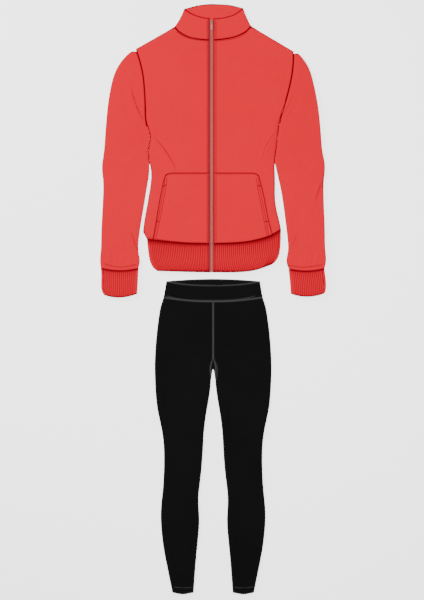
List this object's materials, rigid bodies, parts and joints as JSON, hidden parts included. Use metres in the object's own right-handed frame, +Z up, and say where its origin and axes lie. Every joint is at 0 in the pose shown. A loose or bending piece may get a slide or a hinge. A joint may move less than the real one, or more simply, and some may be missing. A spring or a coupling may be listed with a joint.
{
  "type": "tracksuit jacket and leggings laid flat",
  "caption": "Full-zip track jacket with stand collar, patch pockets and ribbed hem and cuffs, laid flat above a pair of close-fitting leggings.",
  "frame": {"origin": "middle of the set's outline on the surface it lies on", "axes": "+Y from the ankles to the collar, +X towards the wearer's left, +Z up out of the cloth"},
  "size_m": [0.6708, 1.7405, 0.0123],
  "materials": {
    "jacket_cloth": "smooth brushed polyester knit, matt",
    "jacket_rib": "one by one rib knit, matt",
    "zip_tape": "woven tape, matt",
    "zip_plastic": "moulded, slightly glossy",
    "legging_cloth": "stretch jersey, faint sheen"
  },
  "bodies": {
    "garments": {"jacket_back": "jacket_cloth", "front_right": "jacket_cloth", "front_left": "jacket_cloth", "sleeve_right": "jacket_cloth", "sleeve_left": "jacket_cloth", "pocket_right": "jacket_cloth", "pocket_left": "jacket_cloth", "collar": "jacket_cloth", "cuff_right": "jacket_rib", "cuff_left": "jacket_rib", "hem_band": "jacket_rib", "zip_tape_right": "zip_tape", "zip_tape_left": "zip_tape", "zip_chain": "zip_plastic", "zip_stop": "zip_plastic", "zip_slider": "zip_plastic", "legging_front_right": "legging_cloth", "legging_front_left": "legging_cloth", "legging_back_right": "legging_cloth", "legging_back_left": "legging_cloth", "waistband": "legging_cloth", "gusset": "legging_cloth"},
    "pull_tab": {"zip_pull": "zip_plastic"}
  },
  "joints": [
    {"name": "pull_tab_hinge", "type": "hinge", "parent": "garments", "child": "pull_tab", "pos_m": [-0.0049, 0.8155, 0.01], "axis": [-1, 0, 0], "range_deg": [0, 175]}
  ]
}
